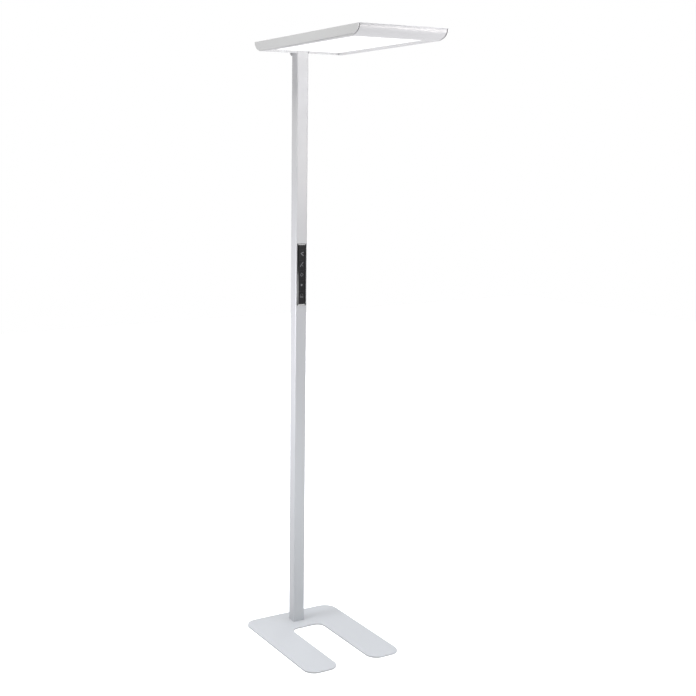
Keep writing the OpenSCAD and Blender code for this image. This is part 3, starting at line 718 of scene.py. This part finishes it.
dress("top_plug", upright_mill)
for node in ("head_bracket", "head_bolts", "bracket_screws"):
    dress(node, zinc)

# ---------------------------------------------------------------- head rails
# The front and the back of the head: two aluminium extrusions with a quarter-ellipse
# outside, a flange for the top cover, and a lip and seat for the diffuser underneath.

front_low, front_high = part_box("front_rail")
plates_low, plates_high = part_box("end_plate_left")
head_front, head_rear = plates_low.y, plates_high.y
head_bottom, head_top = plates_low.z, plates_high.z
head_mid_y = (head_front + head_rear) / 2
head_h = head_top - head_bottom
nose_l = 0.046
rail_wall = 0.002
cover_flange_w = 0.014
recess = 0.007
nose_steps = 24
nearly_all = 0.9999         # the nose's bevel stops just short of the block's far edges
sliver = 0.00002            # what that leaves over is merged away
rail_edge_r = 0.0003
pole_gap = 0.0001           # beside and behind the pole, where it enters the back rail
pole_front_gap = 0.0002
pole_top_gap = 0.00001
head_coat = powder_coat("silver_coat_head", silver, 0.2, 0.42)


def add_nose(name, x0, x1, inset, low, high, run_on=0.0):
    """A closed bar along X with the head's quarter-ellipse nose at its front.

    It starts as a bar of square section, whose lower front edge is bevelled to a quarter
    circle, and is then stretched until the quarter circle is the nose, drawn in by inset.
    It is cut off at the heights low and high, and its back runs on past the nose."""
    radius = head_h - inset
    nose_end = head_front + nose_l
    bar = add_block(name, (x0, nose_end - radius, head_bottom + inset), (x1, nose_end, head_top))
    pick(bar, "EDGE", lambda edge: near(middle(edge).y, nose_end - radius)
         and near(middle(edge).z, head_bottom + inset))
    bpy.ops.mesh.bevel(offset=radius * nearly_all, segments=nose_steps, profile=0.5)
    bpy.ops.mesh.select_all(action="SELECT")
    bpy.ops.mesh.remove_doubles(threshold=sliver)
    bpy.ops.transform.resize(value=(1, (nose_l - inset) / radius, 1), center_override=(0, nose_end, 0))
    if run_on:
        pick(bar, "VERT", lambda corner: near(corner.co.y, nose_end))
        bpy.ops.transform.translate(value=(0, run_on, 0))
    for height, upper in ((low, False), (high, True)):
        if head_bottom + inset < height < head_top:
            bpy.ops.mesh.select_all(action="SELECT")
            bpy.ops.mesh.bisect(
                plane_co=(0, 0, height), plane_no=(0, 0, 1), use_fill=True,
                clear_outer=upper, clear_inner=not upper)
    bpy.ops.object.mode_set(mode="OBJECT")
    return bar


def add_rail(name, low, high):
    """A rail cut from the solid nose: open above and behind, with its flange, seat and lip."""
    x0 = low.x - cut_over
    x1 = high.x + cut_over
    seat_z = head_bottom + recess
    rail = add_nose(name, low.x, high.x, 0, head_bottom, high.z)
    cut_out(rail, add_nose("hollow", x0, x1, rail_wall, seat_z, high.z - rail_wall, cut_over))
    cut_out(rail, add_cutter(
        (x0, head_front + cover_flange_w, high.z - rail_wall - cut_over),
        (x1, head_front + nose_l + cut_over, high.z + cut_over)))
    cut_out(rail, add_nose("hollow", x0, x1, rail_wall, head_bottom, seat_z - rail_wall, -rail_wall))
    return rail


def turned_to_back(piece):
    """Turns a piece of the head's front end round, to the head's back end."""
    turn = Matrix.Translation((0, head_mid_y, 0)) @ Matrix.Rotation(math.pi, 4, "Z")
    piece.data.transform(turn @ Matrix.Translation((0, -head_mid_y, 0)))


front_rail = add_rail("front_rail_coated", front_low, front_high)
round_edges(front_rail, rail_edge_r, 2, 50)
back_rail = add_rail("back_rail_coated", front_low, front_high)
turned_to_back(back_rail)
cut_out(back_rail, add_cutter(
    (pole_low.x - pole_gap, pole_low.y - pole_front_gap, head_bottom - cut_over),
    (pole_high.x + pole_gap, pole_high.y + pole_gap, pole_high.z + pole_top_gap)))
round_edges(back_rail, rail_edge_r, 2, 50)
for rail, node in ((front_rail, "front_rail"), (back_rail, "back_rail")):
    rail.data.materials.append(head_coat)
    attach(rail, "stand")
    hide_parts(node)

# ---------------------------------------------------------------- collar
# A small moulding that closes the gap between the pole and the round of the back rail,
# sprayed to match. It flares out behind the pole, up the curve of the rail.

collar_low, collar_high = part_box("pole_collar")
collar_lip_t = 0.0019
collar_flare_back = 0.0015
collar_flare_h = 0.006
collar_reach_in = 0.012
collar_edge_r = 0.0005
collar_front = pole_high.y + pole_gap
collar = add_block("collar_moulding", (collar_low.x, collar_front, collar_low.z), collar_high)
for height in (head_bottom, head_bottom + collar_flare_h, pole_high.z):
    bpy.ops.mesh.select_all(action="SELECT")
    bpy.ops.mesh.bisect(plane_co=(0, 0, height), plane_no=(0, 0, 1))
flare = ((collar_low.z, collar_front + collar_lip_t), (head_bottom, collar_high.y - collar_flare_back))
for height, y in flare:
    pick(collar, "VERT", lambda corner: near(corner.co.z, height) and near(corner.co.y, collar_high.y))
    bpy.ops.transform.translate(value=(0, y - collar_high.y, 0))
pick(collar, "FACE", lambda face: face.normal.y < -0.9 and middle(face).z > pole_high.z)
bpy.ops.mesh.extrude_region_move(TRANSFORM_OT_translate={"value": (0, -collar_reach_in, 0)})
bpy.ops.object.mode_set(mode="OBJECT")
round_of_head = add_nose(
    "round_of_head", collar_low.x - cut_over, collar_high.x + cut_over, 0, head_bottom, head_top)
turned_to_back(round_of_head)
cut_out(collar, round_of_head)
round_edges(collar, collar_edge_r, 3, 20)
collar_coat = powder_coat("silver_collar_paint", shaded(silver, 0.95), 0.05, 0.42)
collar.data.materials.append(collar_coat)
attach(collar, "stand")
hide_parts("pole_collar")

# ---------------------------------------------------------------- end plates
# Two flat aluminium plates, 2 mm thick, that close the long sides of the head. Their ends
# follow the round of the rails, their lower edge is rounded off on the outside, and screws
# from inside hold them on corner blocks.

plate_t = 0.002
plate_edge_in = 0.0013
plate_edge_up = 0.007
end_edge_r = 0.0004


def add_end_plate(name, x0, x1, outside):
    """The head's whole side outline, cut from a bar that is rounded at both lower ends.

    outside is the x of the face whose lower edge is rounded off."""
    squeeze = head_h / nose_l
    half_l = (head_rear - head_front) / 2 * squeeze
    side = add_block(name, (x0, head_mid_y - half_l, head_bottom), (x1, head_mid_y + half_l, head_top))
    pick(side, "EDGE", lambda edge: near(abs(middle(edge).y - head_mid_y), half_l)
         and near(middle(edge).z, head_bottom))
    bpy.ops.mesh.bevel(offset=head_h * nearly_all, segments=nose_steps, profile=0.5)
    bpy.ops.mesh.select_all(action="SELECT")
    bpy.ops.mesh.remove_doubles(threshold=sliver)
    bpy.ops.transform.resize(value=(1, 1 / squeeze, 1), center_override=(0, head_mid_y, 0))
    bpy.ops.object.mode_set(mode="OBJECT")
    inward = plate_edge_in if outside < 0 else -plate_edge_in
    edges_x = sorted((outside + inward, outside - math.copysign(cut_over, inward)))
    waste = add_cutter(
        (edges_x[0], head_front - cut_over, head_bottom - cut_over),
        (edges_x[1], head_rear + cut_over, head_bottom + plate_edge_up))
    cut_out(waste, add_round(
        "round", (outside + inward, head_front - 2 * cut_over, head_bottom + plate_edge_up), (0, 1, 0),
        (plate_edge_in, plate_edge_up), head_rear - head_front + 4 * cut_over))
    cut_out(side, waste)
    round_edges(side, end_edge_r, 3, 50)
    return side


for node in ("end_plate_left", "end_plate_right"):
    low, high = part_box(node)
    side = add_end_plate(node + "_coated", low.x, high.x, low.x if low.x < 0 else high.x)
    side.data.materials.append(head_coat)
    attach(side, "stand")
    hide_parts(node)
dress("corner_blocks", mill_aluminium("mill_aluminium_across", "x"))
dress("end_plate_screws", zinc)

# ---------------------------------------------------------------- seam fillers
# Strips in the 2.5 mm joints between the end plates and the rails, 1.2 mm below the surface.
# Their near-black is painted shade for the shadow in the joints: each reads as a thin dark line round the
# nose.

seam_w = 0.0025
seam_sunk = 0.0012
seam_depth = 0.0035
seam_edge_r = 0.0002
# Painted shade: this near-black stands in for the shadow in the joints.
seam_shade_black = (0.012, 0.012, 0.013, 1.0)
seam_painted_shade = moulded("painted_shade_seam_fill", seam_shade_black, 0.7)


def add_filler(name, x0):
    """One bent strip: the skin of the nose, drawn in by the joint's depth."""
    x1 = x0 + seam_w
    inset = seam_sunk + seam_depth
    strip = add_nose(name, x0, x1, seam_sunk, head_bottom, front_high.z)
    cut_out(strip, add_nose(
        "hollow", x0 - cut_over, x1 + cut_over, inset, head_bottom, head_top, cut_over))
    round_edges(strip, seam_edge_r, 2, 50)
    return strip


strips = []
for back in (False, True):
    for x0 in (plates_low.x + plate_t, front_high.x):
        strip = add_filler("painted_shade_seam_strips", x0)
        if back:
            turned_to_back(strip)
        strips.append(strip)
seams = join(strips)
seams.data.materials.append(seam_painted_shade)
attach(seams, "stand")
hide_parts("seam_fillers")

# ---------------------------------------------------------------- side rails
# L-shaped extrusions inside the end plates. Their lips frame the diffuser from below,
# and a web behind the lip carries the LED board.

side_web = 0.0016


def add_side_rail(name, low, high, side):
    """Built for the side at +X from its lip upwards, and mirrored for the other."""
    width = high.x - low.x
    inner = Vector((abs(high.x if side < 0 else low.x), low.y, low.z))
    outer_x = inner.x + width
    board_x = inner.x + rail_wall + side_web
    rail = add_block(name, inner, (outer_x, high.y, low.z + rail_wall))
    for x in (inner.x + rail_wall, board_x, board_x + rail_wall, outer_x - rail_wall):
        bpy.ops.mesh.select_all(action="SELECT")
        bpy.ops.mesh.bisect(plane_co=(x, 0, 0), plane_no=(1, 0, 0))
    webs = (
        (inner.x, recess - rail_wall),
        (board_x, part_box("reflector_sheet")[1].z - low.z - rail_wall),
        (outer_x - rail_wall, high.z - low.z - rail_wall),
    )
    for start, rise in webs:
        pick(rail, "FACE", lambda face: face.normal.z > 0.9 and start < middle(face).x < start + rail_wall
             and near(middle(face).z, low.z + rail_wall))
        bpy.ops.mesh.extrude_region_move(TRANSFORM_OT_translate={"value": (0, 0, rise)})
    if side < 0:
        bpy.ops.mesh.select_all(action="SELECT")
        bpy.ops.transform.resize(value=(-1, 1, 1), center_override=(0, 0, 0))
        bpy.ops.mesh.normals_make_consistent(inside=False)
    round_edges(rail, rail_edge_r, 2, 50)
    return rail


for node, side in (("side_rail_left", -1), ("side_rail_right", 1)):
    rail = add_side_rail(node + "_coated", *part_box(node), side)
    rail.data.materials.append(head_coat)
    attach(rail, "stand")
    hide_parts(node)

# ---------------------------------------------------------------- light engine
# An opal diffuser, a clear light guide and a white reflector sheet lie on one another,
# with an LED board along each long edge, under an aluminium backing plate.

opal_white = (0.94, 0.94, 0.93, 1.0)
lit_white = (1.0, 0.995, 0.98, 1.0)
lit_grey = (0.93, 0.93, 0.925, 1.0)
diffuser = Finish("opal_diffuser")
frost = diffuser.noise(1600.0, 2.0)
prisms = diffuser.node("ShaderNodeTexVoronoi", {}, {"Vector": diffuser.place, "Scale": 520.0})
dress("diffuser", diffuser.surface(
    Base_Color=opal_white,
    Roughness=frost * 0.2 + 0.3,
    Emission_Color=diffuser.blend(prisms, lit_white, lit_grey),
    Emission_Strength=0.37,
    Normal=diffuser.bump(prisms, 0.00003),
))

guide = Finish("clear_light_guide")
dots = guide.node("ShaderNodeTexVoronoi", {}, {"Vector": guide.place, "Scale": 380.0})
dress("light_guide", guide.surface(
    Base_Color=(0.90, 0.96, 0.97, 1.0),
    Roughness=dots * 0.15 + 0.05,
    Alpha=0.35,
    Normal=guide.bump(dots, 0.00002),
))

film_white = (0.85, 0.85, 0.85, 1.0)
board_cream = (0.72, 0.72, 0.69, 1.0)
wire_cream = (0.70, 0.70, 0.68, 1.0)
white_film = moulded("white_reflector_film", film_white, 0.6)
dress("reflector_sheet", white_film)
board_white = moulded("white_board_and_boxes", board_cream, 0.5)
for node in ("led_strip_left", "led_strip_right", "driver", "terminal_block"):
    dress(node, board_white)
dress("backing_plate", mill_aluminium("mill_aluminium_lengthwise", "y"))
dress("driver_screws", zinc)
wire_white = moulded("white_wire_sheath", wire_cream, 0.55, lead_grain)
for node in ("driver_wires", "strip_leads"):
    dress(node, wire_white)

# ---------------------------------------------------------------- top cover
# A flat aluminium sheet with its edges rolled over a little, coated like the rest of the
# head and held on the rails' flanges by eight small pan-head screws.

cover_low, cover_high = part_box("top_cover")
screws_low, screws_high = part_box("top_cover_screws")
cover_screw_r = 0.00155
cover_head_r = 0.0028
cover_edge_r = 0.0004
cover_screw_edge_r = 0.0002
cover_screw_pitch = 0.080
cover = add_block("top_cover_coated", cover_low, cover_high)
cover_hole_l = cover_high.z - cover_low.z + 2 * cut_over
for step in (-1.5, -0.5, 0.5, 1.5):
    for y in (screws_low.y + cover_head_r, screws_high.y - cover_head_r):
        cut_out(cover, add_round(
            "screw_hole", (cover_screw_pitch * step, y, cover_low.z - cut_over), (0, 0, 1),
            (cover_screw_r,) * 2, cover_hole_l, 24))
round_edges(cover, cover_edge_r)
cover.data.materials.append(head_coat)
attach(cover, "stand")
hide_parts("top_cover")

cover_screws = like_node("top_cover_screws", "top_cover_screws_plated", cover_screw_edge_r)
cover_screws.data.materials.append(zinc)
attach(cover_screws, "stand")
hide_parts("top_cover_screws")

# ---------------------------------------------------------------- floor
# A plain white studio floor, just under the pads. It isn't part of the lamp. It glows
# evenly, so that it's white to its far edge, but lights nothing.

floor_size = 14.0
floor_drop = 0.0002
floor_white = (0.90, 0.90, 0.90, 1.0)
floor_lighter = (0.92, 0.92, 0.92, 1.0)
select_nothing()
bpy.ops.mesh.primitive_plane_add(size=floor_size, location=(0, 0, -floor_drop))
floor = bpy.context.object
floor.name = "studio_floor"
bpy.ops.object.transform_apply()
ground = Finish("white_floor")
floor_grain = ground.noise(20.0)
floor.data.materials.append(ground.surface(
    Base_Color=ground.blend(floor_grain, floor_white, floor_lighter),
    Roughness=0.9,
    Emission_Color=(1.0, 1.0, 1.0, 1.0),
    Emission_Strength=0.9,
))
floor.visible_diffuse = False
floor.visible_glossy = False
floor.visible_transmission = False

# ---------------------------------------------------------------- studio light
# A white surround, bright below like a lit white floor and bright straight above, with
# softboxes to the left, to the right, in front and behind. Three small ones only glint in
# the keypad's sloped border.

floor_glow = 1.02           # strength of the light from below the horizon
floor_glow_colour = (0.99, 0.98, 1.0, 1.0)
sky_glow = 5.5              # strength straight above
sky_glow_colour = (0.925, 0.955, 1.0, 1.0)
sky_glow_narrow = 8.0       # the higher, the closer to straight above
backdrop_white = (1.0, 1.0, 1.0, 1.0)


class Surround(Finish):
    """The nodes of the white surround. node() and the maths work as in a finish."""

    def __init__(self, name):
        world = bpy.data.worlds.new(name)
        world.use_nodes = True
        bpy.context.scene.world = world
        self.tree = world.node_tree
        self.tree.nodes.clear()

    def glow(self, colour, strength):
        return self.node("ShaderNodeBackground", {}, {"Color": colour, "Strength": strength})


surround = Surround("white_studio")
direction = surround.node("ShaderNodeTexCoord", {}, {}, "Generated")
height = surround.node("ShaderNodeSeparateXYZ", {}, {0: direction}, "Z")
fade = surround.node("ShaderNodeMapRange", {"interpolation_type": "SMOOTHSTEP"}, {
    "Value": height, "From Min": -0.25, "From Max": 0.25, "To Min": floor_glow, "To Max": 0.0})
above = surround.node("ShaderNodeMath", {"operation": "MAXIMUM"}, {0: height, 1: 0.0})
narrowed = surround.node("ShaderNodeMath", {"operation": "POWER"}, {0: above, 1: sky_glow_narrow})
both = surround.node("ShaderNodeAddShader", {}, {
    0: surround.glow(floor_glow_colour, fade), 1: surround.glow(sky_glow_colour, narrowed * sky_glow)})
seen = surround.node("ShaderNodeLightPath", {}, {}, "Is Camera Ray")
either = surround.node("ShaderNodeMixShader", {}, {0: seen, 1: both, 2: surround.glow(backdrop_white, 1.0)})
surround.node("ShaderNodeOutputWorld", {}, {0: either}, None)


def add_softbox(name, place, aim, size, power, colour=(1.0, 1.0, 1.0)):
    """A rectangular soft light at place, turned to the point aim, that the camera doesn't see."""
    lamp = bpy.data.lights.new(name, "AREA")
    lamp.shape = "RECTANGLE"
    lamp.size, lamp.size_y = size
    lamp.energy = power
    lamp.color = colour
    holder = bpy.data.objects.new(name, lamp)
    bpy.context.scene.collection.objects.link(holder)
    holder.location = place
    holder.rotation_mode = "QUATERNION"
    holder.rotation_quaternion = (Vector(aim) - Vector(place)).to_track_quat("-Z", "Y")
    holder.visible_camera = False
    return holder


add_softbox("left_of_pole", (-0.9, 0.27, 0.98), (0, 0.2535, 0.98), (0.3, 0.45), 6.4, (0.917, 0.921, 1.0))
add_softbox("left_of_foot", (-1.0, 0.27, 0.45), (0, 0.2535, 0.45), (0.4, 0.4), 1.8, (0.75, 0.87, 1.0))
add_softbox("over_head_left", (-0.65, 0, 2.55), (-0.15, 0, 1.94), (1.2, 0.3), 8.1, (1.0, 1.0, 0.95))
add_softbox("over_front_rail", (0.7, -0.9, 2.2), (0.1, -0.3, 1.94), (0.4, 0.3), 3.2, (0.93, 0.93, 1.0))
add_softbox("under_front_rail", (0.6, -1.0, 1.5), (0.15, -0.3, 1.93), (0.3, 0.3), 2.9, (1.0, 0.95, 0.93))
add_softbox("front_of_foot", (0.3, -0.9, 0.12), (0, 0.2, 0.1), (0.6, 0.15), 1.7, (0.8, 0.93, 1.0))
unseen_in_gloss = [
    add_softbox("right", (2.2, -0.6, 1.6), (0, 0, 1.5), (1.4, 2.0), 8.0, (0.63, 0.73, 1.0)),
    add_softbox("low_right", (1.5, -1.2, 0.5), (0, 0.2, 0.6), (0.8, 0.8), 4.8, (0.77, 0.875, 1.0)),
    add_softbox("behind", (1.6, 2.2, 1.2), (0, 0.2, 1.1), (1.6, 1.6), 16.0),
]
for softbox in unseen_in_gloss:
    softbox.visible_glossy = False
for name, place, target, size, power in (
    ("keypad_left_glint", (0.213, -1.75, 0.925), 1.16, (0.16, 0.14), 0.9),
    ("keypad_top_glint", (1.004, -1.404, 1.868), 1.313, (0.16, 0.08), 1.1),
    ("keypad_foot_glint", (0.998, -1.228, 0.182), 1.111, (0.16, 0.08), 1.1),
):
    glint = add_softbox(name, place, (0, 0.2345, target), size, power)
    glint.visible_diffuse = False

# ---------------------------------------------------------------- camera
# The photograph's view, solved from the edges of the base, the pole and the head.

camera_place = (-1.8376, -2.9200, 1.5915)
camera_turn = math.radians(28.39)       # from +Y towards +X
camera_tilt = math.radians(-9.71)       # below the horizon
camera_roll = math.radians(0.11)
picture_w = 696
focal_pixels = 1112.9
centre_column = 266.03
view_camera = bpy.data.cameras.new("camera")
view_camera.sensor_width = 36.0
view_camera.lens = focal_pixels / picture_w * view_camera.sensor_width
view_camera.shift_x = 0.5 - centre_column / picture_w
camera = bpy.data.objects.new("camera", view_camera)
bpy.context.scene.collection.objects.link(camera)
aim = (
    Matrix.Rotation(-camera_turn, 4, "Z")
    @ Matrix.Rotation(math.pi / 2 + camera_tilt, 4, "X")
    @ Matrix.Rotation(camera_roll, 4, "Z")
)
camera.matrix_world = Matrix.Translation(camera_place) @ aim
bpy.context.scene.camera = camera
bpy.context.scene.view_settings.view_transform = "Standard"
